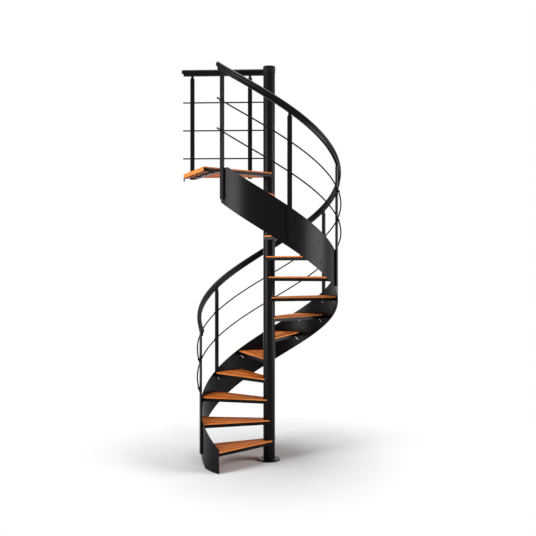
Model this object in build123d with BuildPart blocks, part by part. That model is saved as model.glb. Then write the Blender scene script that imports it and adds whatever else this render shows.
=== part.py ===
from build123d import *
from math import asin, cos, degrees, pi, radians, sin, sqrt
import os

# Spiral staircase with a centre column, wooden treads in steel trays and one curved outer stringer.
#
# Millimetres, +Z up. The column stands on the origin, and bearings are degrees counter-clockwise
# from +X, seen from above. The stair climbs clockwise, so bearings fall as heights rise.

# Flight
STAIR_RADIUS = 700.0        # outside of the stringer
RISER = 207.5
TREADS = 13
TREAD_TURN = 27.16          # turn from one nosing to the next
FIRST_NOSING = 226.8        # bearing of the first nosing where it meets the stringer

# Column
COLUMN_D = 120.0
COLUMN_WALL = 4.0
COLUMN_JOINT = 11.0         # joint of the two column tubes, over the landing
COLUMN_OVER_RAIL = 20.0     # from the centre of the landing's handrail to the top of the tube
CAP_WALL = 3.0              # skirt of the cap around the tube
CAP_SKIRT = 60.0            # length of that skirt
CAP_DOME = 10.0
CAP_ROOF = 4.0
FLANGE_RIM = 50.0           # from the column to the flange's edge
FLANGE_THICKNESS = 12.0
FLANGE_EDGE = 2.0           # fillet round the flange's upper edge

# Stringer
STRINGER_THICKNESS = 6.0
STRINGER_HEIGHT = 380.0     # measured straight up and down
STRINGER_RISE = 21.0        # upper edge over the nosing line
STRINGER_CUT = 18.0         # level cut at the head, below the top of the landing

# Treads
TREAD_OVERLAP = 2.44        # turn by which a tread reaches under the next nosing
BOARD_THICKNESS = 40.0
BOARD_LIP = 12.0            # upper layer of the board, which covers the tray's walls
BOARD_GAP = 1.0             # gap from the board to the column and the stringer
BOARD_EDGE = 3.0            # rounding along the upper edges of the board
TRAY_WALL = 4.0
TRAY_FLANGE = 25.0          # width of the flange that the board lies on, as thick as the walls
TRAY_SETBACK = 1.0          # walls behind the edge of the board's lip
TRAY_PLAY = 0.5             # play between the walls and the board
LUG_WIDTH = 44.0
LUG_DROP = 40.0             # length of a lug below the tray
LUG_INSET = 8.0             # from the tray's corner to the lug

# Landing
LANDING_RISE = 225.5        # from the last tread to the landing
LANDING_TURN = 45.68        # from the last nosing to the landing's side by the stair
LANDING_SPREAD = 37.7       # from that side to the guarded side
LANDING_SKEW = 11.9         # from that side's bearing to the one that the outer edge faces
LANDING_PROJECTION = 74.0   # from the stringer's radius square to the outer edge
BEAM_INSET = 98.0           # from the outer edge to the middle of the cross beam
BEAM_WIDTH = 40.0
BEAM_DEPTH = 20.0
ARM_WIDTH = 44.0            # flat arm from the landing to the head of the stringer
ARM_THICKNESS = 8.0
HOOK_LEG = 50.0             # legs of the hooks under the outer edge
HOOK_HEIGHT = 40.0
HOOK_WIDTH = 22.0
HOOK_THICKNESS = 6.0
HOOK_PLACES = (0.02, 0.34, 0.65, 0.92)   # along the outer edge, from the far corner

# Guards
POST_WIDTH = 44.0           # along the guard
POST_DEPTH = 18.0           # across the guard
POST_EVERY = 2              # treads per post
POST_SHIFT = 2.5            # post behind its nosing, degrees
POST_FOOT = 42.0            # from the lower edge of the stringer up to the foot of a post
POST_NECK = 26.0            # width of the neck under the handrail
POST_SHOULDER = 30.0        # from the shoulder up to the handrail
POST_EDGE = 2.0             # rounding along a post's corners
POST_SEAT = 0.1             # play under the twisted underside of the climbing rail
RAIL_D = 44.0
RAIL_HEIGHT = 936.0         # centre of the round rail over the nosing line
RAIL_CARRIER_WIDTH = 26.0   # profile under the round rail
RAIL_CARRIER_DEPTH = 22.5   # carrier below the round, square to the rail
RAIL_OVERHANG = 50.0        # rail past the middle of the end post
ROD_D = 14.0
ROD_STANDOFF = 10.0         # from a post's face to the centre of the rod
ROD_HEIGHTS = (332.0, 617.5)
ROD_OVERHANG = 40.0
ROD_CAP_WALL = 1.5
CAP_ROUNDING = 0.8          # rounding of the end caps, as a part of their radius
HOLDER_WALL = 5.0           # of a holder beside its rod
HOLDER_PLAY = 0.2

# Guard on the landing
LANDING_RAIL_HEIGHT = 1058.0
LANDING_ROD_HEIGHTS = (163.0, 453.0, 743.0)
LANDING_POST_START = 200.0               # from the column's axis to the first post
LANDING_POST_INSET = 91.7                # from the last post to the end of the guarded edge
LANDING_POST_DROP = 10.0                 # foot of a post below the board

# Worked out
COLUMN_R = COLUMN_D / 2
COLUMN_TOP = LANDING_RAIL_HEIGHT + COLUMN_OVER_RAIL     # over the landing
CAP_R = COLUMN_R + CAP_WALL
INNER_RADIUS = STAIR_RADIUS - STRINGER_THICKNESS
PITCH = 360 / TREAD_TURN * RISER
BOARD_RADIUS = INNER_RADIUS - BOARD_GAP
TREAD_SPAN = TREAD_TURN + TREAD_OVERLAP
TREAD_EDGE = TREAD_SPAN / 2 - degrees(asin(COLUMN_R / BOARD_RADIUS))
TRAY_DEPTH = BOARD_THICKNESS - BOARD_LIP + TRAY_WALL    # from the board's lip to the tray's underside
CORE_INSET = TRAY_SETBACK + TRAY_WALL + TRAY_PLAY       # board between the tray's walls
LANDING_TOP = TREADS * RISER + LANDING_RISE
LANDING_BOTTOM = LANDING_TOP - BOARD_THICKNESS
LANDING_REACH = STAIR_RADIUS + LANDING_PROJECTION       # from the column's axis
LANDING_NEAR = FIRST_NOSING - TREAD_TURN * (TREADS - 1) - LANDING_TURN
LANDING_FAR = LANDING_NEAR - LANDING_SPREAD
LANDING_FACE = LANDING_NEAR - LANDING_SKEW
RAIL_CARRIER_DROP = RAIL_D / 2 + RAIL_CARRIER_DEPTH     # its underside below the rail's centre
HOLDER_D = ROD_D + 2 * HOLDER_WALL
HOLDER_LENGTH = 2 * ROD_STANDOFF
ROD_CAP_D = ROD_D + 2 * ROD_CAP_WALL
POST_RADIUS = STAIR_RADIUS + POST_DEPTH / 2
ROD_RADIUS = STAIR_RADIUS + POST_DEPTH + ROD_STANDOFF
POST_BEARINGS = [
    FIRST_NOSING - TREAD_TURN * step - POST_SHIFT
    for step in range(POST_EVERY - 1, TREADS + 1, POST_EVERY)
]
STRINGER_END = POST_BEARINGS[-1] - degrees(POST_WIDTH / 2 / STAIR_RADIUS)

def nosing_line(bearing):
    """Height of the line through the nosings at a bearing."""
    return RISER + (FIRST_NOSING - bearing) / TREAD_TURN * RISER


def steepness(radius):
    """Slope of the climb at a radius, as rise over run."""
    return PITCH / (2 * pi * radius)


def toward(bearing):
    """Unit vector along a bearing."""
    return Vector(cos(radians(bearing)), sin(radians(bearing)))


def level_plane(bearing, height):
    """Level plane whose X axis points along a bearing."""
    return Plane(origin=(0, 0, height), x_dir=toward(bearing), z_dir=(0, 0, 1))


def upright_plane(radius, bearing, height):
    """Upright plane across the climb: X points outwards, Y up and Z along the climb."""
    return Plane(
        origin=toward(bearing) * radius + Vector(0, 0, height),
        x_dir=toward(bearing),
        z_dir=toward(bearing - 90),
    )


def climb(radius, start, end, over_nosings):
    """Left-handed helix between two bearings, at a height over the nosing line."""
    helix = Helix(
        pitch=PITCH,
        height=(start - end) / 360 * PITCH,
        radius=radius,
        lefthand=True,
        mode=Mode.PRIVATE,
    )
    return Pos(0, 0, nosing_line(start) + over_nosings) * Rot(0, 0, start) * helix


def tread_outline(side_inset, radius, notch):
    """Outline about +X: two straight sides beside the column, an outer arc and a round notch."""
    offset = COLUMN_R - side_inset
    side = toward(TREAD_EDGE)
    square = toward(TREAD_EDGE + 90)
    inner = square * offset
    outer = inner + side * sqrt(radius**2 - offset**2)
    with BuildSketch() as outline:
        with BuildLine():
            Line((inner.X, -inner.Y), (outer.X, -outer.Y))
            ThreePointArc((outer.X, -outer.Y), (radius, 0), (outer.X, outer.Y))
            Line((outer.X, outer.Y), (inner.X, inner.Y))
            Line((inner.X, inner.Y), (inner.X, -inner.Y))
        make_face()
        Circle(notch, mode=Mode.SUBTRACT)
    return outline.sketch


def landing_corner(bearing, side, offset, reach):
    """Where a side of the landing meets the outer edge; side is +1 on the stair side, else -1."""
    inner = toward(bearing + 90 * side) * offset
    along = (reach - inner.dot(toward(LANDING_FACE))) / cos(radians(bearing - LANDING_FACE))
    return inner + toward(bearing) * along


def landing_outline(near_inset, far_inset, reach, notch):
    """Outline of the landing: a side to the stair, a straight outer edge and a guarded side."""
    near = COLUMN_R - near_inset
    far = COLUMN_R - far_inset
    with BuildSketch() as outline:
        with BuildLine():
            Polyline(
                toward(LANDING_NEAR + 90) * near,
                landing_corner(LANDING_NEAR, 1, near, reach),
                landing_corner(LANDING_FAR, -1, far, reach),
                toward(LANDING_FAR - 90) * far,
                close=True,
            )
        make_face()
        Circle(notch, mode=Mode.SUBTRACT)
    return outline.sketch


os.makedirs("parts", exist_ok=True)

# Column ------------------------------------------------------------------------------------

with BuildPart() as base_flange:
    with BuildSketch():
        Circle(COLUMN_R + FLANGE_RIM)
    extrude(amount=FLANGE_THICKNESS)
    fillet(base_flange.edges().group_by(Axis.Z)[-1], FLANGE_EDGE)
base_flange.part.label = "base_flange"
export_step(base_flange.part, "parts/base_flange.step")

with BuildPart() as column:
    with BuildSketch(Plane.XY.offset(FLANGE_THICKNESS)):
        Circle(COLUMN_R)
        Circle(COLUMN_R - COLUMN_WALL, mode=Mode.SUBTRACT)
    extrude(amount=LANDING_TOP + COLUMN_JOINT - FLANGE_THICKNESS)
column.part.label = "column"
export_step(column.part, "parts/column.step")

with BuildPart() as upper_column:
    with BuildSketch(Plane.XY.offset(LANDING_TOP + COLUMN_JOINT)):
        Circle(COLUMN_R)
    extrude(amount=COLUMN_TOP - COLUMN_JOINT)
    guard_side = toward(LANDING_FAR - 90)
    for height in LANDING_ROD_HEIGHTS:
        level = Vector(0, 0, LANDING_TOP + height)
        with BuildSketch(Plane(origin=level, z_dir=guard_side)):
            Circle(HOLDER_D / 2)
        extrude(amount=COLUMN_R + POST_DEPTH + HOLDER_LENGTH)
        rod_centre = level + guard_side * (COLUMN_R + POST_DEPTH + ROD_STANDOFF)
        with BuildSketch(Plane(origin=rod_centre, z_dir=toward(LANDING_FAR))):
            Circle(ROD_D / 2 + HOLDER_PLAY)
        extrude(amount=HOLDER_D, both=True, mode=Mode.SUBTRACT)
    with BuildSketch(Plane.XY.offset(LANDING_TOP + COLUMN_JOINT)):
        Circle(COLUMN_R - COLUMN_WALL)
    extrude(amount=COLUMN_TOP - COLUMN_JOINT, mode=Mode.SUBTRACT)
upper_column.part.label = "upper_column"
export_step(upper_column.part, "parts/upper_column.step")

with BuildPart() as column_cap:
    top = LANDING_TOP + COLUMN_TOP
    with BuildSketch(Plane.XZ):
        with BuildLine():
            Polyline(
                (0, top),
                (COLUMN_R, top),
                (COLUMN_R, top - CAP_SKIRT),
                (CAP_R, top - CAP_SKIRT),
                (CAP_R, top + CAP_ROOF),
            )
            TangentArc((0, top + CAP_ROOF + CAP_DOME), (CAP_R, top + CAP_ROOF), tangent=(1, 0))
            Line((0, top + CAP_ROOF + CAP_DOME), (0, top))
        make_face()
    revolve(axis=Axis.Z)
column_cap.part.label = "column_cap"
export_step(column_cap.part, "parts/column_cap.step")

# Stringer ----------------------------------------------------------------------------------

stringer_joints = [FIRST_NOSING, *POST_BEARINGS[:-1], STRINGER_END]
for number, (start, end) in enumerate(zip(stringer_joints, stringer_joints[1:]), 1):
    with BuildPart() as stringer:
        middle = STAIR_RADIUS - STRINGER_THICKNESS / 2
        with BuildSketch(upright_plane(middle, start, nosing_line(start) + STRINGER_RISE)):
            Rectangle(STRINGER_THICKNESS, STRINGER_HEIGHT, align=(Align.CENTER, Align.MAX))
        sweep(path=climb(middle, start, end, STRINGER_RISE), is_frenet=True)
        with BuildSketch():
            Circle(STAIR_RADIUS + BOARD_GAP)
        extrude(amount=-STRINGER_HEIGHT, mode=Mode.SUBTRACT)
        with BuildSketch(Plane.XY.offset(LANDING_TOP - STRINGER_CUT)):
            Circle(STAIR_RADIUS + BOARD_GAP)
        extrude(amount=STRINGER_HEIGHT, mode=Mode.SUBTRACT)
    stringer.part.label = f"stringer_{number}"
    export_step(stringer.part, f"parts/stringer_{number}.step")

# Treads ------------------------------------------------------------------------------------

board_notch = COLUMN_R + BOARD_GAP
board_lip = tread_outline(0, BOARD_RADIUS, board_notch)
board_core = tread_outline(CORE_INSET, INNER_RADIUS - TRAY_WALL - TRAY_PLAY, board_notch)
tray_outside = tread_outline(TRAY_SETBACK, INNER_RADIUS, COLUMN_R)
tray_inside = tread_outline(TRAY_SETBACK + TRAY_WALL, INNER_RADIUS - TRAY_WALL, COLUMN_R / 2)
tray_opening = tread_outline(
    TRAY_SETBACK + TRAY_FLANGE, INNER_RADIUS - TRAY_FLANGE, COLUMN_R + TRAY_FLANGE)

for number in range(1, TREADS + 1):
    bearing = FIRST_NOSING - TREAD_TURN * (number - 1) - TREAD_SPAN / 2
    tread_top = RISER * number
    tray_top = tread_top - BOARD_LIP
    tray_bottom = tray_top - TRAY_DEPTH
    flange_top = tread_top - BOARD_THICKNESS

    with BuildPart() as board:
        with BuildSketch(level_plane(bearing, tray_top)):
            add(board_lip)
        extrude(amount=BOARD_LIP)
        sides = board.edges().filter_by(GeomType.LINE).group_by(Axis.Z)[-1]
        fillet(sides, BOARD_EDGE)
        with BuildSketch(level_plane(bearing, flange_top)):
            add(board_core)
        extrude(amount=tray_top - flange_top)
    board.part.label = f"tread_board_{number:02d}"
    export_step(board.part, f"parts/tread_board_{number:02d}.step")

    with BuildPart() as tray:
        with BuildSketch(level_plane(bearing, tray_bottom)):
            add(tray_outside)
        extrude(amount=TRAY_DEPTH)
        with BuildSketch(level_plane(bearing, flange_top)):
            add(tray_inside)
        extrude(amount=tray_top - flange_top, mode=Mode.SUBTRACT)
        with BuildSketch(level_plane(bearing, tray_bottom)):
            add(tray_opening)
        extrude(amount=flange_top - tray_bottom, mode=Mode.SUBTRACT)
        for side in (-1, 1):
            corner = side * (TREAD_SPAN / 2 - degrees(LUG_INSET / INNER_RADIUS))
            far_side = corner - side * degrees(LUG_WIDTH / INNER_RADIUS)
            with BuildSketch(level_plane(bearing, tray_bottom)):
                with BuildLine():
                    outer = [toward(angle) * INNER_RADIUS
                             for angle in (corner, (corner + far_side) / 2, far_side)]
                    inner = [toward(angle) * (INNER_RADIUS - TRAY_WALL)
                             for angle in (far_side, (corner + far_side) / 2, corner)]
                    ThreePointArc(*outer)
                    Line(outer[-1], inner[0])
                    ThreePointArc(*inner)
                    Line(inner[-1], outer[0])
                make_face()
            extrude(amount=-LUG_DROP)
    tray.part.label = f"tread_frame_{number:02d}"
    export_step(tray.part, f"parts/tread_frame_{number:02d}.step")

# Landing -----------------------------------------------------------------------------------

landing_lip = landing_outline(0, 0, LANDING_REACH, board_notch)
landing_core = landing_outline(CORE_INSET, 0, LANDING_REACH, board_notch)
with BuildPart() as landing_board:
    with BuildSketch(Plane.XY.offset(LANDING_TOP - BOARD_LIP)):
        add(landing_lip)
    extrude(amount=BOARD_LIP)
    fillet(landing_board.edges().filter_by(GeomType.LINE).group_by(Axis.Z)[-1], BOARD_EDGE)
    with BuildSketch(Plane.XY.offset(LANDING_BOTTOM)):
        add(landing_core)
    extrude(amount=BOARD_THICKNESS - BOARD_LIP)
landing_board.part.label = "landing_board"
export_step(landing_board.part, "parts/landing_board.step")

frame_reach = LANDING_REACH - TRAY_SETBACK
beam_middle = LANDING_REACH - BEAM_INSET
wall_outside = landing_outline(TRAY_SETBACK, 0, frame_reach, COLUMN_R)
wall_inside = landing_outline(TRAY_SETBACK + TRAY_WALL, 0, LANDING_REACH, COLUMN_R / 2)
flange_outside = landing_outline(TRAY_SETBACK, TRAY_SETBACK, frame_reach, COLUMN_R)
flange_inside = landing_outline(
    TRAY_SETBACK + TRAY_FLANGE, -COLUMN_R, LANDING_REACH, COLUMN_R + TRAY_FLANGE)
beam_outside = landing_outline(TRAY_SETBACK, TRAY_FLANGE, beam_middle + BEAM_WIDTH / 2, COLUMN_R)
beam_inside = landing_outline(-COLUMN_R, -COLUMN_R, beam_middle - BEAM_WIDTH / 2, COLUMN_R)
with BuildPart() as landing_frame:
    with BuildSketch(Plane.XY.offset(LANDING_TOP - BOARD_LIP)):
        add(wall_outside)
        add(wall_inside, mode=Mode.SUBTRACT)
    extrude(amount=-TRAY_DEPTH)
    with BuildSketch(Plane.XY.offset(LANDING_BOTTOM)):
        add(flange_outside)
        add(flange_inside, mode=Mode.SUBTRACT)
    extrude(amount=-TRAY_WALL)
    with BuildSketch(Plane.XY.offset(LANDING_BOTTOM)):
        add(beam_outside)
        add(beam_inside, mode=Mode.SUBTRACT)
    extrude(amount=-BEAM_DEPTH)
    near_corner = LANDING_NEAR + degrees(asin(COLUMN_R / INNER_RADIUS))
    head = STRINGER_END + 2 * degrees(ARM_WIDTH / INNER_RADIUS)
    foot = near_corner - degrees(TRAY_FLANGE / INNER_RADIUS)
    with BuildSketch(Plane.XY.offset(LANDING_TOP - BOARD_LIP - TRAY_DEPTH)):
        with BuildLine():
            outer = [toward(angle) * INNER_RADIUS for angle in (foot, (foot + head) / 2, head)]
            inner = [toward(angle) * (INNER_RADIUS - ARM_WIDTH)
                     for angle in (head, (foot + head) / 2, foot)]
            ThreePointArc(*outer)
            Line(outer[-1], inner[0])
            ThreePointArc(*inner)
            Line(inner[-1], outer[0])
        make_face()
    extrude(amount=-ARM_THICKNESS)
landing_frame.part.label = "landing_frame"
export_step(landing_frame.part, "parts/landing_frame.step")

with BuildPart() as landing_hooks:
    far_corner = landing_corner(LANDING_FAR, -1, COLUMN_R, LANDING_REACH)
    near_corner = landing_corner(LANDING_NEAR, 1, COLUMN_R, LANDING_REACH)
    for number, place in enumerate(HOOK_PLACES):
        foot = far_corner + (near_corner - far_corner) * place
        lower_leg = HOOK_LEG if number > 0 else HOOK_THICKNESS
        hook_plane = Plane(
            origin=(foot.X, foot.Y, LANDING_BOTTOM),
            x_dir=-toward(LANDING_FACE),
            z_dir=toward(LANDING_FACE + 90),
        )
        with BuildSketch(hook_plane):
            with Locations((0, 0)):
                Rectangle(HOOK_LEG, HOOK_THICKNESS, align=(Align.MIN, Align.MAX))
                Rectangle(HOOK_THICKNESS, HOOK_HEIGHT, align=(Align.MIN, Align.MAX))
            with Locations((0, -HOOK_HEIGHT)):
                Rectangle(lower_leg, HOOK_THICKNESS, align=(Align.MIN, Align.MIN))
        extrude(amount=HOOK_WIDTH / 2, both=True)
landing_hooks.part.label = "landing_hooks"
export_step(landing_hooks.part, "parts/landing_hooks.step")

# Guard of the flight -----------------------------------------------------------------------

rail_slope = steepness(POST_RADIUS)
rail_stretch = sqrt(1 + rail_slope**2)        # a tilted bar is taller in an upright section
carrier_underside = RAIL_HEIGHT - RAIL_CARRIER_DROP * rail_stretch - POST_SEAT


def post(plane, foot, top, slope, holders):
    """Flat post along the plane's Y axis, shouldered under a rail that falls along +X.

    Each holder stands on the outer face and has a cross hole for a rod.
    """
    neck = POST_NECK / 2
    half = POST_WIDTH / 2
    chamfer = half - neck
    with BuildPart() as bar:
        with BuildSketch(plane):
            with BuildLine():
                Polyline(
                    (-half, foot),
                    (half, foot),
                    (half, top - POST_SHOULDER),
                    (neck, top - POST_SHOULDER + chamfer),
                    (neck, top - neck * slope),
                    (-neck, top + neck * slope),
                    (-neck, top - POST_SHOULDER + chamfer),
                    (-half, top - POST_SHOULDER),
                    close=True,
                )
            make_face()
        extrude(amount=POST_DEPTH / 2, both=True)
        fillet(bar.edges().filter_by(Axis.Z).group_by(SortBy.LENGTH)[-1], POST_EDGE)
        face = plane.offset(POST_DEPTH / 2)
        with BuildSketch(face):
            with Locations(*[(0, height) for height in holders]):
                Circle(HOLDER_D / 2)
        extrude(amount=HOLDER_LENGTH)
        for height in holders:
            centre = face.from_local_coords((0, height, ROD_STANDOFF))
            along = plane.y_dir * slope - plane.x_dir
            with BuildSketch(Plane(origin=centre, z_dir=along)):
                Circle(ROD_D / 2 + HOLDER_PLAY)
            extrude(amount=HOLDER_D, both=True, mode=Mode.SUBTRACT)
    return bar.part


post_foot = STRINGER_RISE - STRINGER_HEIGHT + POST_FOOT     # over the nosing line
posts = []
for bearing in POST_BEARINGS:
    nosing = nosing_line(bearing)
    post_plane = Plane(
        origin=toward(bearing) * POST_RADIUS,
        x_dir=toward(bearing + 90),
        z_dir=toward(bearing),
    )
    rod_levels = [nosing + height for height in ROD_HEIGHTS]
    posts.append(post(
        post_plane, nosing + post_foot, nosing + carrier_underside, rail_slope, rod_levels))
with BuildPart() as stair_posts:
    add(posts)
stair_posts.part.label = "stair_posts"
export_step(stair_posts.part, "parts/stair_posts.step")


def end_cap(end_plane, diameter, stretch, outward):
    """Domed cap on an upright end of a bar; outward is +1 along the plane's Z axis, else -1."""
    with BuildPart() as cap:
        with BuildSketch(end_plane):
            Ellipse(diameter / 2, diameter / 2 * stretch)
        extrude(amount=outward * diameter / 2)
        out = Axis(end_plane.origin, end_plane.z_dir * outward)
        fillet(cap.faces().sort_by(out)[-1].edges(), CAP_ROUNDING * diameter / 2)
    return cap.part


def rail_section(stretch):
    """Round rail on its flat carrier, both stretched upright by the same factor."""
    with BuildSketch() as section:
        Ellipse(RAIL_D / 2, RAIL_D / 2 * stretch)
        with Locations((0, -RAIL_CARRIER_DROP * stretch)):
            Rectangle(RAIL_CARRIER_WIDTH, (RAIL_CARRIER_DROP - RAIL_D / 4) * stretch,
                      align=(Align.CENTER, Align.MIN))
    return section.sketch


rail_turn = degrees(RAIL_OVERHANG / POST_RADIUS)
rail_ends = (POST_BEARINGS[0] + rail_turn, POST_BEARINGS[-1] - rail_turn)
climbing_section = rail_section(rail_stretch)
with BuildPart() as stair_handrail:
    with BuildSketch(upright_plane(
            POST_RADIUS, rail_ends[0], nosing_line(rail_ends[0]) + RAIL_HEIGHT)):
        add(climbing_section)
    sweep(path=climb(POST_RADIUS, *rail_ends, RAIL_HEIGHT), is_frenet=True)
stair_handrail.part.label = "stair_handrail"
export_step(stair_handrail.part, "parts/stair_handrail.step")

rod_stretch = sqrt(1 + steepness(ROD_RADIUS)**2)
rod_turn = degrees(ROD_OVERHANG / ROD_RADIUS)
rod_ends = (POST_BEARINGS[0] + rod_turn, POST_BEARINGS[-1] - rod_turn)
for name, height in zip(("lower_stair_rod", "upper_stair_rod"), ROD_HEIGHTS):
    with BuildPart() as stair_rod:
        with BuildSketch(upright_plane(
                ROD_RADIUS, rod_ends[0], nosing_line(rod_ends[0]) + height)):
            Ellipse(ROD_D / 2, ROD_D / 2 * rod_stretch)
        sweep(path=climb(ROD_RADIUS, *rod_ends, height), is_frenet=True)
    stair_rod.part.label = name
    export_step(stair_rod.part, f"parts/{name}.step")

# Guard of the landing ----------------------------------------------------------------------

guard_line = guard_side * (COLUMN_R + POST_DEPTH / 2)
rod_line = guard_side * (COLUMN_R + POST_DEPTH + ROD_STANDOFF)
guard_end = landing_corner(LANDING_FAR, -1, COLUMN_R, LANDING_REACH).dot(toward(LANDING_FAR))


def guard_section(line, height, along=0.0):
    """Upright plane across the landing's guard: X towards the landing, Y up."""
    return Plane(
        origin=line + toward(LANDING_FAR) * along + Vector(0, 0, LANDING_TOP + height),
        x_dir=-guard_side,
        z_dir=toward(LANDING_FAR),
    )


post_foot = LANDING_BOTTOM - LANDING_POST_DROP
post_top = LANDING_TOP + LANDING_RAIL_HEIGHT - RAIL_CARRIER_DROP
rod_levels = [LANDING_TOP + height for height in LANDING_ROD_HEIGHTS]
posts = []
for place in (LANDING_POST_START, guard_end - LANDING_POST_INSET):
    post_plane = Plane(
        origin=guard_line + toward(LANDING_FAR) * place,
        x_dir=toward(LANDING_FAR),
        z_dir=guard_side,
    )
    posts.append(post(post_plane, post_foot, post_top, 0, rod_levels))
with BuildPart() as landing_posts:
    add(posts)
landing_posts.part.label = "landing_posts"
export_step(landing_posts.part, "parts/landing_posts.step")

level_section = rail_section(1)
with BuildPart() as landing_handrail:
    with BuildSketch(guard_section(guard_line, LANDING_RAIL_HEIGHT)):
        add(level_section)
    extrude(amount=guard_end)
    with BuildSketch(Plane.XY.offset(LANDING_TOP)):
        Circle(CAP_R)
    extrude(amount=2 * COLUMN_TOP, mode=Mode.SUBTRACT)
landing_handrail.part.label = "landing_handrail"
export_step(landing_handrail.part, "parts/landing_handrail.step")

with BuildPart() as landing_rods:
    for height in LANDING_ROD_HEIGHTS:
        with BuildSketch(guard_section(rod_line, height, -HOLDER_D / 2)):
            Circle(ROD_D / 2)
        extrude(amount=guard_end + HOLDER_D / 2)
landing_rods.part.label = "landing_rods"
export_step(landing_rods.part, "parts/landing_rods.step")

# Caps on the open ends ---------------------------------------------------------------------

caps = [end_cap(guard_section(guard_line, LANDING_RAIL_HEIGHT, guard_end), RAIL_D, 1, 1)]
for bearing, outward in zip(rail_ends, (-1, 1)):
    height = nosing_line(bearing) + RAIL_HEIGHT
    end_plane = upright_plane(POST_RADIUS, bearing, height)
    caps.append(end_cap(end_plane, RAIL_D, rail_stretch, outward))
with BuildPart() as rail_caps:
    add(caps)
rail_caps.part.label = "rail_caps"
export_step(rail_caps.part, "parts/rail_caps.step")

caps = [
    end_cap(guard_section(rod_line, height, guard_end), ROD_CAP_D, 1, 1)
    for height in LANDING_ROD_HEIGHTS
]
for over_nosings in ROD_HEIGHTS:
    for bearing, outward in zip(rod_ends, (-1, 1)):
        height = nosing_line(bearing) + over_nosings
        end_plane = upright_plane(ROD_RADIUS, bearing, height)
        caps.append(end_cap(end_plane, ROD_CAP_D, rod_stretch, outward))
with BuildPart() as rod_caps:
    add(caps)
rod_caps.part.label = "rod_caps"
export_step(rod_caps.part, "parts/rod_caps.step")
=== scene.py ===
from math import cos, degrees, pi, radians, sin

import bpy
import numpy as np
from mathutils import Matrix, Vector


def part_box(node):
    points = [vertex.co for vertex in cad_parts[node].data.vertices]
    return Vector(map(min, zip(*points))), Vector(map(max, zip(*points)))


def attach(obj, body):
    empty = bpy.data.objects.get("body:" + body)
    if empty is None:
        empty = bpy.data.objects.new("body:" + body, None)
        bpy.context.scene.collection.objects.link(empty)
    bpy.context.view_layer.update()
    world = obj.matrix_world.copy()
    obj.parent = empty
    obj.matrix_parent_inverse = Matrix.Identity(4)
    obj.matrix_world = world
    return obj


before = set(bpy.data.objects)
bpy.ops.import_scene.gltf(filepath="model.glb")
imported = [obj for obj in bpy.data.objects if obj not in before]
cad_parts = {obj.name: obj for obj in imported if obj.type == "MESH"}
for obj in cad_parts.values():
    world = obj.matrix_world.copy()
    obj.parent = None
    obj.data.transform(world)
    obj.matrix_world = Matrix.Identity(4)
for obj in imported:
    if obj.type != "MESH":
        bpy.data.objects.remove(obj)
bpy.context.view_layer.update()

# Spiral staircase. Metres, +Z up, the column on the origin. Bearings are degrees
# counter-clockwise from +X, seen from above; they fall as the stair climbs.

STAIR_RADIUS = 0.700
STRINGER_THICKNESS = 0.006
RISER = 0.2075
TREADS = 13
TREAD_TURN = 27.16
TREAD_SPAN = 29.6
FIRST_NOSING = 226.8
BOARD_LIP = 0.012
TRAY_DEPTH = 0.032
TRAY_WALL = 0.004
LUG_WIDTH = 0.044
LUG_INSET = 0.008
LANDING_FAR = 177.5
LANDING_FACE = 203.3
POST_EVERY = 2
POST_SHIFT = 2.5
POST_DEPTH = 0.018
ROD_HEIGHTS = (0.332, 0.6175)
LANDING_ROD_HEIGHTS = (0.163, 0.453, 0.743)
LANDING_POST_PLACES = (0.200, 0.797)
HOLDER_LENGTH = 0.020

INNER_RADIUS = STAIR_RADIUS - STRINGER_THICKNESS
COLUMN_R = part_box("column")[1].x
LANDING_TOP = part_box("landing_board")[1].z

# Fasteners and the column's joint
LUG_BOLTS = ((-0.0085, -0.012), (0.0085, -0.030))   # along the climb, up from the tray's base
POST_BOLT_DROPS = (0.080, 0.270)   # below the nosing line
NUT_FLANGE_R = 0.0085
NUT_FLANGE = 0.0016
NUT_APOTHEM = 0.0060
NUT_HEIGHT = 0.0065
NUT_TIP_R = 0.0036
NUT_TIP = 0.0095
HEAD_R = 0.0070
HEAD_HEIGHT = 0.0028
SOCKET_R = 0.0026
SCREW_R = 0.0052
SCREW_HEIGHT = 0.0014
HEX_CORNER = 1.155   # a hexagon's corner over its apothem
NUT_SEGMENTS = 24
HEAD_SEGMENTS = 20
SCREW_SEGMENTS = 18
JOINT_RING_HEIGHT = 0.0016
JOINT_RING_STAND = 0.0003
JOINT_RING_SEGMENTS = 96

# Camera
CAMERA_DISTANCE = 7.318
CAMERA_HEIGHT = 2.006
CAMERA_LENS = 48.18
CAMERA_SHIFT = (-0.0021, -0.0094)
CAMERA_REACH = 100.0


def toward(bearing):
    """Unit vectors (x, y, 0) along bearings in degrees."""
    turn = np.radians(bearing)
    return np.stack((np.cos(turn), np.sin(turn), np.zeros_like(turn)), axis=-1)


def nosing_line(bearing):
    """Height of the line through the nosings at a bearing."""
    return RISER + (FIRST_NOSING - bearing) / TREAD_TURN * RISER


def raised(points, heights):
    """Points moved up by heights."""
    points = points.copy()
    points[:, 2] += heights
    return points


# Meshes ------------------------------------------------------------------------------------


def grid_faces(rows, columns):
    """Quads of a grid whose columns close on themselves, row after row."""
    row, column = np.meshgrid(np.arange(rows - 1), np.arange(columns), indexing="ij")
    after = (column + 1) % columns
    low = row * columns
    high = low + columns
    corners = (low + column, low + after, high + after, high + column)
    return np.stack(corners, axis=-1).reshape(-1, 4)


def make_piece(name, points, faces, material, smooth=True):
    """One mesh from points and quads, riding on the root body."""
    mesh = bpy.data.meshes.new(name)
    mesh.from_pydata(points.reshape(-1, 3).tolist(), [], faces.tolist())
    mesh.polygons.foreach_set("use_smooth", np.full(len(mesh.polygons), smooth))
    mesh.materials.append(material)
    mesh.update()
    piece = bpy.data.objects.new(name, mesh)
    bpy.context.scene.collection.objects.link(piece)
    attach(piece, "root")
    return piece


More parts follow.
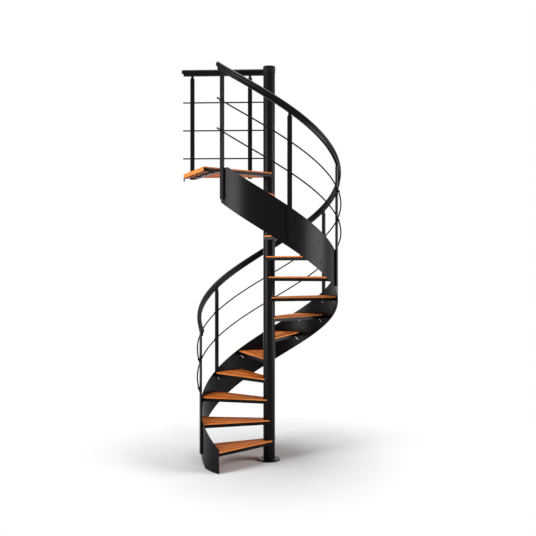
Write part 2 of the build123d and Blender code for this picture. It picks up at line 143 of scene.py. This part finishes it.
def turned(profile, seats, outs, segments, apothem=0.0, hexed=()):
    """Copies of a turned fastener.

    A profile of (radius, height) is carried round an axis. On the rows in hexed the radius is
    the lesser of the profile's and of a hexagon's, which is apothem / cos(angle to the nearest
    flat). The axis of copy k runs from seats[k] along outs[k].
    """
    profile = np.array(profile)
    angle = np.arange(segments) * 2 * pi / segments
    radius = np.repeat(profile[:, :1], segments, axis=1)
    flat = (angle + pi / 6) % (pi / 3) - pi / 6
    for row in hexed:
        radius[row] = np.minimum(radius[row], apothem / np.cos(flat))
    outs = outs / np.linalg.norm(outs, axis=1, keepdims=True)
    across = np.cross(np.array((0.0, 0.0, 1.0)), outs)
    across /= np.linalg.norm(across, axis=1, keepdims=True)
    along = np.cross(outs, across)
    local = np.stack((radius * np.cos(angle), radius * np.sin(angle),
                      np.repeat(profile[:, 1:], segments, axis=1)), axis=-1)
    points = (seats[:, None, None]
              + local[None, ..., :1] * across[:, None, None]
              + local[None, ..., 1:2] * along[:, None, None]
              + local[None, ..., 2:] * outs[:, None, None])
    quads = grid_faces(len(profile), segments)
    offsets = np.arange(len(seats))[:, None, None] * radius.size
    return points, (quads[None] + offsets).reshape(-1, 4)


def ring(radius, low, high, stand, segments):
    """A closed band round +Z: a box profile from radius to radius + stand, and low to high."""
    outer = radius + stand
    profile = np.array(((radius, low), (outer, low), (outer, high), (radius, high)))
    angle = np.arange(segments) * 2 * pi / segments
    points = np.stack((profile[:, :1] * np.cos(angle), profile[:, :1] * np.sin(angle),
                       np.repeat(profile[:, 1:], segments, axis=1)), axis=-1)
    points = np.concatenate((points, points[:1]))
    return points, grid_faces(len(points), segments)


# Shader groups -----------------------------------------------------------------------------

DUST_COLOUR = (0.36, 0.34, 0.31)
STAVE_WIDTH = 0.062
STAVE_STEP = 7.31        # of the key to a stave's tone, from one stave to the next
STAVE_SHIFT = 3.7        # most metres that a stave's pattern moves along the grain
RING_PACE = 240.0        # radians of the growth lines per metre across the grain
RING_BEND = 34.0         # radians that slow noise bends them by
CLOUD_SHARE = 0.9        # of cloud to streak, in where the wood is pale
LINE_DEPTH = 0.34        # how far growth lines, pores and staves go to the dark colour
PORE_DEPTH = 0.42
STAVE_DEPTH = 0.30
STREAK_RELIEF = 0.3      # height of a full streak, where a full pore is PORE_DEPTH deep
WOOD_ROUGHNESS = 0.52
GRAIN_ROUGHNESS = 0.20   # added where the grain is darkest


def new_group(name, inputs, outputs):
    """An empty shader group with named inputs (name, socket, value) and outputs (name, socket)."""
    tree = bpy.data.node_groups.new(name, "ShaderNodeTree")
    for label, kind, value in inputs:
        socket = tree.interface.new_socket(label, in_out="INPUT", socket_type=kind)
        if value is not None:
            socket.default_value = value
    for label, kind in outputs:
        tree.interface.new_socket(label, in_out="OUTPUT", socket_type=kind)
    return tree, tree.nodes.new("NodeGroupInput").outputs, tree.nodes.new("NodeGroupOutput").inputs


class Wires:
    """Short calls that add nodes to one tree and return their outputs."""

    def __init__(self, tree):
        self.tree = tree

    def put(self, node, socket, value):
        """Link a socket's source, or set its value."""
        if isinstance(value, bpy.types.NodeSocket):
            self.tree.links.new(value, node.inputs[socket])
        else:
            node.inputs[socket].default_value = value

    def math(self, operation, first, second=0.0, clamp=False):
        """One operation on two numbers, or on the first alone."""
        node = self.tree.nodes.new("ShaderNodeMath")
        node.operation = operation
        node.use_clamp = clamp
        self.put(node, 0, first)
        self.put(node, 1, second)
        return node.outputs[0]

    def length(self, vector):
        """The length of a vector."""
        node = self.tree.nodes.new("ShaderNodeVectorMath")
        node.operation = "LENGTH"
        self.put(node, 0, vector)
        return node.outputs["Value"]

    def noise(self, vector, scale, detail, roughness):
        """Cloudy noise from 0 to 1, with scale cells per unit of vector."""
        node = self.tree.nodes.new("ShaderNodeTexNoise")
        self.put(node, "Vector", vector)
        self.put(node, "Scale", scale)
        self.put(node, "Detail", detail)
        self.put(node, "Roughness", roughness)
        return node.outputs["Fac"]

    def between(self, value, low, high, to_low=0.0, to_high=1.0):
        """value moved from the range low to high, onto to_low to to_high, smoothly and clamped."""
        node = self.tree.nodes.new("ShaderNodeMapRange")
        node.interpolation_type = "SMOOTHSTEP"
        for place, number in enumerate((value, low, high, to_low, to_high)):
            self.put(node, place, number)
        return node.outputs[0]

    def mix(self, factor, first, second):
        """The colour first where factor is 0, and second where it is 1."""
        node = self.tree.nodes.new("ShaderNodeMix")
        node.data_type = "RGBA"
        self.put(node, 0, factor)
        self.put(node, 6, first)
        self.put(node, 7, second)
        return node.outputs[2]

    def split(self, vector):
        """The x, y and z of a vector."""
        node = self.tree.nodes.new("ShaderNodeSeparateXYZ")
        self.put(node, 0, vector)
        return node.outputs

    def join(self, x, y, z):
        """A vector from its x, y and z."""
        node = self.tree.nodes.new("ShaderNodeCombineXYZ")
        for place, value in enumerate((x, y, z)):
            self.put(node, place, value)
        return node.outputs[0]

    def group(self, tree, **values):
        """A shader group with values on its named inputs, where _ stands for a space."""
        node = self.tree.nodes.new("ShaderNodeGroup")
        node.node_tree = tree
        for label, value in values.items():
            self.put(node, label.replace("_", " "), value)
        return node.outputs


def opaque(colour, share=1.0):
    """A colour with its three channels times share, and alpha 1."""
    return tuple(channel * share for channel in colour) + (1.0,)


def coat_texture_group():
    """Fine orange peel of a sprayed or moulded coat, and slow changes of its roughness."""
    tree, given, out = new_group(
        "coat_texture",
        (("Vector", "NodeSocketVector", None), ("Grain", "NodeSocketFloat", 900.0),
         ("Middle Roughness", "NodeSocketFloat", 0.4), ("Change", "NodeSocketFloat", 0.06)),
        (("Height", "NodeSocketFloat"), ("Roughness", "NodeSocketFloat")),
    )
    w = Wires(tree)
    fine = w.noise(given["Vector"], given["Grain"], detail=2.0, roughness=0.5)
    slow = w.noise(given["Vector"], scale=7.0, detail=4.0, roughness=0.6)
    change = w.math("MULTIPLY", w.math("SUBTRACT", slow, 0.5), given["Change"])
    speck = w.math("MULTIPLY", w.math("SUBTRACT", fine, 0.5), given["Change"])
    tree.links.new(fine, out["Height"])
    roughness = w.math("ADD", given["Middle Roughness"], w.math("ADD", change, speck))
    tree.links.new(roughness, out["Roughness"])
    return tree


def dust_group():
    """Thin dust where a surface looks up, broken by cloudy noise."""
    tree, given, out = new_group(
        "dust",
        (("Vector", "NodeSocketVector", None), ("Up", "NodeSocketFloat", 0.0),
         ("Amount", "NodeSocketFloat", 0.1), ("Color", "NodeSocketColor", None)),
        (("Color", "NodeSocketColor"), ("Mask", "NodeSocketFloat")),
    )
    w = Wires(tree)
    patches = w.noise(given["Vector"], scale=16.0, detail=5.0, roughness=0.65)
    cloud = w.between(patches, low=0.35, high=0.75)
    lie = w.between(given["Up"], low=0.6, high=1.0)
    mask = w.math("MULTIPLY", w.math("MULTIPLY", cloud, lie), given["Amount"], clamp=True)
    tree.links.new(w.mix(mask, given["Color"], opaque(DUST_COLOUR)), out["Color"])
    tree.links.new(mask, out["Mask"])
    return tree


def grained(w, along, y, z, cells, detail, roughness):
    """Noise drawn out along the grain, with cells per metre (along it, across it)."""
    lengthwise, crosswise = cells
    place = w.join(w.math("MULTIPLY", along, lengthwise), w.math("MULTIPLY", y, crosswise),
                   w.math("MULTIPLY", z, crosswise))
    return w.noise(place, 1.0, detail, roughness)


def timber_group():
    """Oiled hardwood with its grain along X, glued up from staves across Y.

    Each stave shifts the pattern and its tone. Growth lines are a sine of the distance across
    the stave, bent by slow noise. Pores and fibres are noise drawn out along X.
    """
    tree, given, out = new_group(
        "timber",
        (("Vector", "NodeSocketVector", None), ("Seed", "NodeSocketFloat", 0.0),
         ("Light", "NodeSocketColor", None), ("Middle", "NodeSocketColor", None),
         ("Dark", "NodeSocketColor", None)),
        (("Color", "NodeSocketColor"), ("Height", "NodeSocketFloat"),
         ("Roughness", "NodeSocketFloat")),
    )
    w = Wires(tree)
    x, y, z = w.split(given["Vector"])
    stave = w.math("FLOOR", w.math("ADD", w.math("DIVIDE", y, STAVE_WIDTH), 0.5))
    key = w.math("ADD", w.math("MULTIPLY", stave, STAVE_STEP), given["Seed"])
    tone = tree.nodes.new("ShaderNodeTexWhiteNoise")
    tone.noise_dimensions = "1D"
    w.put(tone, "W", key)
    shade = tone.outputs["Value"]
    shift = w.math("MULTIPLY", shade, STAVE_SHIFT)
    along = w.math("ADD", x, w.math("ADD", shift, given["Seed"]))

    bend = grained(w, along, y, z, cells=(1.6, 9.0), detail=3.0, roughness=0.5)
    rings = w.math("SINE", w.math("ADD", w.math("MULTIPLY", y, RING_PACE),
                                  w.math("MULTIPLY", bend, RING_BEND)))
    ring_tone = w.between(rings, low=-0.9, high=1.0)
    streak = grained(w, along, y, z, cells=(5.0, 105.0), detail=4.0, roughness=0.6)
    fibre = grained(w, along, y, z, cells=(26.0, 620.0), detail=2.0, roughness=0.6)
    cloud = grained(w, along, y, z, cells=(2.3, 13.0), detail=2.0, roughness=0.5)

    streaky = w.math("ADD", streak, w.math("MULTIPLY", cloud, CLOUD_SHARE))
    body = w.mix(w.between(streaky, low=0.84, high=1.10), given["Middle"], given["Light"])
    lines = w.math("MULTIPLY", w.math("SUBTRACT", 1.0, ring_tone), LINE_DEPTH)
    pores = w.math("MULTIPLY", w.between(fibre, low=0.54, high=0.74), PORE_DEPTH)
    depth = w.math("ADD", w.math("MAXIMUM", lines, pores),
                   w.math("MULTIPLY", shade, STAVE_DEPTH), clamp=True)
    tree.links.new(w.mix(depth, body, given["Dark"]), out["Color"])
    relief = w.math("SUBTRACT", w.math("MULTIPLY", streak, STREAK_RELIEF), pores)
    tree.links.new(relief, out["Height"])
    roughness = w.math("ADD", WOOD_ROUGHNESS, w.math("MULTIPLY", depth, GRAIN_ROUGHNESS))
    tree.links.new(roughness, out["Roughness"])
    return tree


COAT = coat_texture_group()
DUST = dust_group()
TIMBER = timber_group()


# Materials ---------------------------------------------------------------------------------


def blank_material(name):
    """A material with one Principled BSDF, its wires and Object coordinates."""
    material = bpy.data.materials.new(name)
    material.use_nodes = True
    tree = material.node_tree
    shader = tree.nodes["Principled BSDF"]
    w = Wires(tree)
    place = tree.nodes.new("ShaderNodeTexCoord").outputs["Object"]
    return material, w, shader, place


def looking_up(w):
    """How far the surface's own normal points up."""
    normal = w.tree.nodes.new("ShaderNodeNewGeometry").outputs["Normal"]
    return w.split(normal)[2]


def bump(w, shader, height, distance):
    """Relief on the shader's normal, distance metres deep where height goes from 0 to 1."""
    node = w.tree.nodes.new("ShaderNodeBump")
    node.inputs["Strength"].default_value = 1.0
    node.inputs["Distance"].default_value = distance
    w.put(node, "Height", height)
    w.tree.links.new(node.outputs[0], shader.inputs["Normal"])


def coated(name, colour, roughness, change, grain, relief, specular, dust):
    """Sprayed metal or moulded plastic: one dark colour, fine relief and a little dust."""
    material, w, shader, place = blank_material(name)
    shader.inputs["Specular IOR Level"].default_value = specular
    shader.inputs["Specular Tint"].default_value = GLOSS_TINT
    coat = w.group(COAT, Vector=place, Grain=grain, Middle_Roughness=roughness, Change=change)
    cloud = w.between(w.noise(place, scale=5.0, detail=3.0, roughness=0.55), low=0.3, high=0.7)
    shade = w.mix(cloud, opaque(colour, COAT_TONES[0]), opaque(colour, COAT_TONES[1]))
    dusty = w.group(DUST, Vector=place, Up=looking_up(w), Amount=dust, Color=shade)
    w.put(shader, "Base Color", dusty["Color"])
    duller = w.math("MULTIPLY", dusty["Mask"], DUST_ROUGHNESS)
    w.put(shader, "Roughness", w.math("ADD", coat["Roughness"], duller, clamp=True))
    bump(w, shader, coat["Height"], relief)
    return material


def timber(name, bearing, seed):
    """Oiled boards whose grain runs along a bearing, with painted light that makes their upright
    sides paler than the top.
    """
    material, w, shader, place = blank_material(name)
    turn = w.tree.nodes.new("ShaderNodeMapping")
    turn.vector_type = "TEXTURE"
    turn.inputs["Rotation"].default_value = (0.0, 0.0, radians(bearing))
    w.tree.links.new(place, turn.inputs["Vector"])
    wood = w.group(TIMBER, Vector=turn.outputs[0], Seed=seed, Light=opaque(WOOD_LIGHT),
                   Middle=opaque(WOOD_MIDDLE), Dark=opaque(WOOD_DARK))
    up = looking_up(w)
    # Painted light: upright sides are mixed towards the paler WOOD_SIDE, as if lit from the front
    side = w.between(w.math("ABSOLUTE", up), low=0.98, high=0.5)
    side_lightened = w.mix(w.math("MULTIPLY", side, SIDE_SHARE), wood["Color"], opaque(WOOD_SIDE))
    dusty = w.group(DUST, Vector=place, Up=up, Amount=WOOD_DUST, Color=side_lightened)
    w.put(shader, "Base Color", dusty["Color"])
    w.put(shader, "Roughness", wood["Roughness"])
    shader.inputs["Specular IOR Level"].default_value = WOOD_SPECULAR
    bump(w, shader, wood["Height"], WOOD_RELIEF)
    return material


def plated(name, colour, roughness, change, grain, relief):
    """Plated metal with a fine relief and a cloudy tone."""
    material, w, shader, place = blank_material(name)
    shader.inputs["Metallic"].default_value = 1.0
    coat = w.group(COAT, Vector=place, Grain=grain, Middle_Roughness=roughness, Change=change)
    tone = w.between(w.noise(place, scale=90.0, detail=3.0, roughness=0.6), low=0.3, high=0.7)
    w.put(shader, "Base Color", w.mix(tone, opaque(colour, PLATED_DARK), opaque(colour)))
    w.put(shader, "Roughness", coat["Roughness"])
    bump(w, shader, coat["Height"], relief)
    return material


STEEL_BLACK = (0.0018, 0.0012, 0.0014)
PLASTIC_BLACK = (0.0028, 0.0025, 0.0027)
OXIDE_BLACK = (0.012, 0.012, 0.013)
ZINC = (0.56, 0.54, 0.545)
GLOSS_TINT = (1.0, 0.93, 0.965, 1.0)
COAT_TONES = (0.86, 1.12)   # least and most of a coat's colour, from place to place
DUST_ROUGHNESS = 0.3        # added to a coat where the dust is full
PLATED_DARK = 0.8           # of the plating's colour where it is cloudy
WOOD_LIGHT = (0.79, 0.274, 0.069)
WOOD_MIDDLE = (0.50, 0.104, 0.007)
WOOD_DARK = (0.26, 0.045, 0.004)
# WOOD_SIDE is painted light: the paler colour of the boards' upright sides, as if lit from the
# front
WOOD_SIDE = (0.80, 0.280, 0.066)
SIDE_SHARE = 0.6            # of WOOD_SIDE in an upright side's colour, as painted light on the sides
WOOD_DUST = 0.03
WOOD_SPECULAR = 0.08
WOOD_RELIEF = 0.0004
TREAD_SEED = 3.1            # from one tread's pattern to the next
LANDING_SEED = 47.0

powder_coat = coated("powder_coat", STEEL_BLACK, roughness=0.30, change=0.05, grain=900.0,
                     relief=0.00001, specular=0.10, dust=0.03)
moulded_black = coated("moulded_black", PLASTIC_BLACK, roughness=0.30, change=0.05, grain=1500.0,
                       relief=0.00001, specular=0.16, dust=0.05)
rod_coat = coated("rod_coat", STEEL_BLACK, roughness=0.36, change=0.05, grain=900.0,
                  relief=0.00001, specular=0.04, dust=0.03)
zinc = plated("zinc", ZINC, roughness=0.32, change=0.12, grain=2500.0, relief=0.00003)
black_oxide = coated("black_oxide", OXIDE_BLACK, roughness=0.30, change=0.08, grain=2500.0,
                     relief=0.00002, specular=0.5, dust=0.0)

tread_middles = [FIRST_NOSING - TREAD_TURN * step - TREAD_SPAN / 2 for step in range(TREADS)]
timbers = {
    f"tread_board_{number:02d}": timber(f"tread_timber_{number:02d}", bearing,
                                        TREAD_SEED * number)
    for number, bearing in enumerate(tread_middles, 1)
}
timbers["landing_board"] = timber("landing_timber", LANDING_FACE - 90, LANDING_SEED)

MOULDED = ("column_cap", "rail_caps", "rod_caps")
RODS = ("lower_stair_rod", "upper_stair_rod", "landing_rods")
for node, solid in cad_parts.items():
    if node in timbers:
        finish = timbers[node]
    elif node in MOULDED:
        finish = moulded_black
    elif node in RODS:
        finish = rod_coat
    else:
        finish = powder_coat
    solid.data.materials.clear()
    solid.data.materials.append(finish)

# Fasteners ---------------------------------------------------------------------------------

# Profiles of (radius, height) from the middle of the seat out to the rim and in at the top
NUT_PROFILE = (
    (0.0, 0.0), (NUT_FLANGE_R, 0.0), (NUT_FLANGE_R, NUT_FLANGE * 0.6),
    (NUT_FLANGE_R * 0.86, NUT_FLANGE), (NUT_APOTHEM * HEX_CORNER, NUT_FLANGE * 1.1),
    (NUT_APOTHEM * HEX_CORNER, NUT_HEIGHT * 0.86), (NUT_APOTHEM, NUT_HEIGHT),
    (NUT_TIP_R * 1.1, NUT_HEIGHT), (NUT_TIP_R, NUT_HEIGHT), (NUT_TIP_R, NUT_TIP * 0.94),
    (NUT_TIP_R * 0.8, NUT_TIP), (0.0, NUT_TIP),
)
NUT_HEX_ROWS = (4, 5)
BUTTON_PROFILE = (
    (0.0, 0.0), (HEAD_R, 0.0), (HEAD_R, HEAD_HEIGHT * 0.15), (HEAD_R * 0.93, HEAD_HEIGHT * 0.5),
    (HEAD_R * 0.74, HEAD_HEIGHT * 0.86), (HEAD_R * 0.5, HEAD_HEIGHT), (SOCKET_R, HEAD_HEIGHT),
    (SOCKET_R, HEAD_HEIGHT * 0.35), (0.0, HEAD_HEIGHT * 0.25),
)
SCREW_PROFILE = (
    (0.0, 0.0), (SCREW_R, 0.0), (SCREW_R, SCREW_HEIGHT * 0.6), (SCREW_R * 0.85, SCREW_HEIGHT),
    (SOCKET_R * 0.8, SCREW_HEIGHT), (SOCKET_R * 0.8, SCREW_HEIGHT * 0.3), (0.0, SCREW_HEIGHT * 0.3),
)

lug_middle = TREAD_SPAN / 2 - degrees((LUG_INSET + LUG_WIDTH / 2) / INNER_RADIUS)
lugs = np.array([(middle + side * lug_middle, RISER * number - BOARD_LIP - TRAY_DEPTH)
                 for number, middle in enumerate(tread_middles, 1) for side in (-1, 1)])
spots = np.array(LUG_BOLTS)
lug_bearings = (lugs[:, :1] - np.degrees(spots[:, 0] / INNER_RADIUS)).ravel()
lug_heights = (lugs[:, 1:] + spots[:, 1]).ravel()
lug_outs = toward(lug_bearings)
nut_seats = raised(lug_outs * (INNER_RADIUS - TRAY_WALL), lug_heights)
points, faces = turned(NUT_PROFILE, nut_seats, -lug_outs, NUT_SEGMENTS, NUT_APOTHEM,
                       NUT_HEX_ROWS)
make_piece("lug_nuts", points, faces, zinc, smooth=False)
head_seats = raised(lug_outs * STAIR_RADIUS, lug_heights)
points, faces = turned(BUTTON_PROFILE, head_seats, lug_outs, HEAD_SEGMENTS)
make_piece("lug_bolt_heads", points, faces, powder_coat)

post_bearings = np.array([FIRST_NOSING - TREAD_TURN * step - POST_SHIFT
                          for step in range(POST_EVERY - 1, TREADS + 1, POST_EVERY)])
post_outs = toward(np.repeat(post_bearings, len(POST_BOLT_DROPS)))
drops = np.tile(POST_BOLT_DROPS, len(post_bearings))
post_bolt_heights = nosing_line(np.repeat(post_bearings, len(POST_BOLT_DROPS))) - drops
points, faces = turned(BUTTON_PROFILE, raised(post_outs * INNER_RADIUS, post_bolt_heights),
                       -post_outs, HEAD_SEGMENTS)
make_piece("post_bolt_heads", points, faces, black_oxide)

holder_bearings = np.repeat(post_bearings, len(ROD_HEIGHTS))
holder_outs = toward(holder_bearings)
holder_heights = nosing_line(holder_bearings) + np.tile(ROD_HEIGHTS, len(post_bearings))
stair_holders = raised(holder_outs * (STAIR_RADIUS + POST_DEPTH + HOLDER_LENGTH), holder_heights)
guard_side = toward(np.array(LANDING_FAR - 90.0))
guard_along = toward(np.array(LANDING_FAR))
places = np.repeat((0.0, *LANDING_POST_PLACES), len(LANDING_ROD_HEIGHTS))
landing_holders = (guard_side * (COLUMN_R + POST_DEPTH + HOLDER_LENGTH)
                   + guard_along * places[:, None])
landing_holders = raised(landing_holders, LANDING_TOP + np.tile(
    LANDING_ROD_HEIGHTS, len(LANDING_POST_PLACES) + 1))
landing_outs = np.repeat(guard_side[None], len(landing_holders), axis=0)
points, faces = turned(SCREW_PROFILE, np.concatenate((stair_holders, landing_holders)),
                       np.concatenate((holder_outs, landing_outs)), SCREW_SEGMENTS)
make_piece("holder_screws", points, faces, black_oxide)

joint_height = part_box("column")[1].z
points, faces = ring(COLUMN_R, joint_height - JOINT_RING_HEIGHT / 2,
                     joint_height + JOINT_RING_HEIGHT / 2, JOINT_RING_STAND,
                     JOINT_RING_SEGMENTS)
make_piece("column_joint", points, faces, black_oxide, smooth=False)

# Floor, light and camera -------------------------------------------------------------------

FLOOR_SIZE = 60.0
FLOOR_COLOUR = (0.846, 0.858, 0.863)
FLOOR_MOTTLE = 0.995       # of the floor's colour where it is darkest
FLOOR_FADE = (1.0, 2.2)    # metres from the column over which it fades to the background
BACKGROUND = 1.0
AMBIENT = 0.02             # the world's light on matt surfaces


def seen_directly(w):
    """1 for rays from the camera and for mirrored and refracted ones."""
    path = w.tree.nodes.new("ShaderNodeLightPath").outputs
    return w.math("MAXIMUM", path["Is Camera Ray"],
                  w.math("MAXIMUM", path["Is Glossy Ray"], path["Is Transmission Ray"]))


def white_floor():
    """Pale matt floor near the object that fades into the white background further off."""
    material, w, shader, place = blank_material("studio_floor")
    shader.inputs["Specular IOR Level"].default_value = 0.0
    shader.inputs["Roughness"].default_value = 1.0
    mottle = w.noise(place, scale=3.0, detail=2.0, roughness=0.5)
    w.put(shader, "Base Color", w.mix(mottle, opaque(FLOOR_COLOUR, FLOOR_MOTTLE),
                                      opaque(FLOOR_COLOUR)))
    glow = w.tree.nodes.new("ShaderNodeEmission")
    glow.inputs["Color"].default_value = (1.0, 1.0, 1.0, 1.0)
    glow.inputs["Strength"].default_value = BACKGROUND
    far = w.between(w.length(place), *FLOOR_FADE)
    blend = w.tree.nodes.new("ShaderNodeMixShader")
    w.put(blend, 0, w.math("MULTIPLY", far, seen_directly(w)))
    w.tree.links.new(shader.outputs[0], blend.inputs[1])
    w.tree.links.new(glow.outputs[0], blend.inputs[2])
    w.tree.links.new(blend.outputs[0], w.tree.nodes["Material Output"].inputs["Surface"])
    return material


half = FLOOR_SIZE / 2
floor_mesh = bpy.data.meshes.new("studio_floor")
floor_mesh.from_pydata([(-half, -half, 0), (half, -half, 0), (half, half, 0), (-half, half, 0)],
                       [], [(0, 1, 2, 3)])
floor_mesh.materials.append(white_floor())
studio_floor = bpy.data.objects.new("studio_floor", floor_mesh)
bpy.context.scene.collection.objects.link(studio_floor)

world = bpy.data.worlds.new("studio")
world.use_nodes = True
bpy.context.scene.world = world
w = Wires(world.node_tree)
background = world.node_tree.nodes["Background"]
background.inputs["Color"].default_value = (1.0, 1.0, 1.0, 1.0)
w.put(background, "Strength", w.between(seen_directly(w), 0.0, 1.0, AMBIENT, BACKGROUND))


def softbox(name, position, aim, width, height, radiance):
    """A rectangular area light at position that faces aim, of one radiance over its face."""
    data = bpy.data.lights.new(name, "AREA")
    data.shape = "RECTANGLE"
    data.size = width
    data.size_y = height
    data.energy = radiance * pi * width * height
    lamp = bpy.data.objects.new(name, data)
    lamp.location = position
    direction = Vector(aim) - Vector(position)
    lamp.rotation_euler = direction.to_track_quat("-Z", "Y").to_euler()
    bpy.context.scene.collection.objects.link(lamp)


def around(bearing, distance, height):
    """A point at a bearing, a distance from the column and a height."""
    return (distance * cos(radians(bearing)), distance * sin(radians(bearing)), height)


STAIR_MIDDLE = (0.0, 0.0, 2.0)
STAIR_FOOT = (0.0, 0.0, 1.0)
softbox("left_softbox", around(bearing=-148, distance=5.5, height=2.6), aim=STAIR_MIDDLE,
        width=2.5, height=4.2, radiance=10.8)
softbox("right_softbox", around(bearing=-13, distance=6.0, height=2.6), aim=STAIR_MIDDLE,
        width=3.7, height=4.0, radiance=8.0)
softbox("top_softbox", (0.25, 0.05, 7.4), aim=STAIR_FOOT, width=3.7, height=3.7, radiance=7.4)

camera_data = bpy.data.cameras.new("camera")
camera_data.lens = CAMERA_LENS
camera_data.shift_x, camera_data.shift_y = CAMERA_SHIFT
camera_data.clip_end = CAMERA_REACH
camera = bpy.data.objects.new("camera", camera_data)
camera.location = (0.0, -CAMERA_DISTANCE, CAMERA_HEIGHT)
camera.rotation_euler = (pi / 2, 0.0, 0.0)
bpy.context.scene.collection.objects.link(camera)
bpy.context.scene.camera = camera
bpy.context.scene.view_settings.view_transform = "Standard"

bpy.context.view_layer.update()
